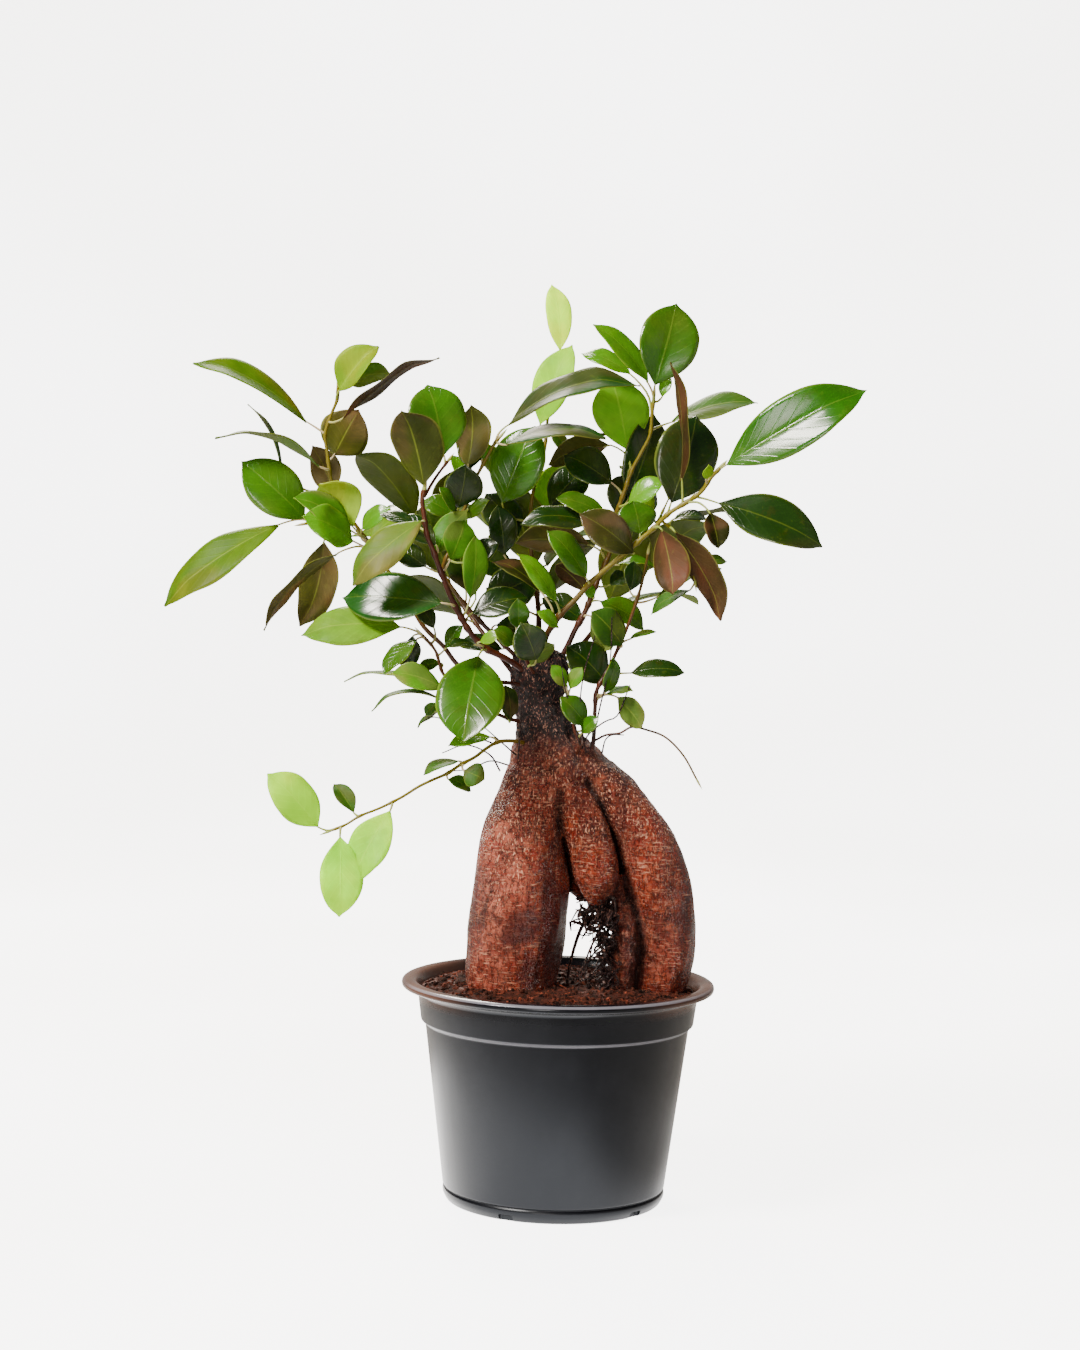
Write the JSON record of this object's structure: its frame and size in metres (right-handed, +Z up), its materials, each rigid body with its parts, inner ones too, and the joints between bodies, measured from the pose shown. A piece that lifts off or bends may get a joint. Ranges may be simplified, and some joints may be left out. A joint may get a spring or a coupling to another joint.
{
  "type": "ficus ginseng bonsai in a nursery pot",
  "caption": "Ficus bonsai with swollen root legs and a loose crown of glossy leaves, standing in a round black plastic nursery pot filled with soil.",
  "frame": {"origin": "centre of the pot's flat base, on the surface it stands on", "axes": "+Z up along the pot's axis; the front of the plant, with both root legs side by side, looks along -Y"},
  "size_m": [0.3408, 0.1992, 0.46],
  "materials": {
    "pot_plastic": "satin",
    "soil": "matte",
    "bark": "satin",
    "foliage": "satin"
  },
  "bodies": {
    "root": {"pot": "pot_plastic", "soil": "soil", "trunk": "bark", "stem_left_upright": "foliage", "stem_left_fan": "foliage", "stem_left_low": "foliage", "stem_left_hanging": "foliage", "stem_dark_left": "foliage", "stem_centre_left": "foliage", "stem_top": "foliage", "stem_right_upright": "foliage", "stem_right_long": "foliage", "stem_right_low": "foliage", "stem_right_shoulder": "foliage", "stem_centre_front": "foliage", "stem_back_left": "foliage", "stem_back_centre": "foliage", "stem_back_right": "foliage"}
  },
  "joints": []
}
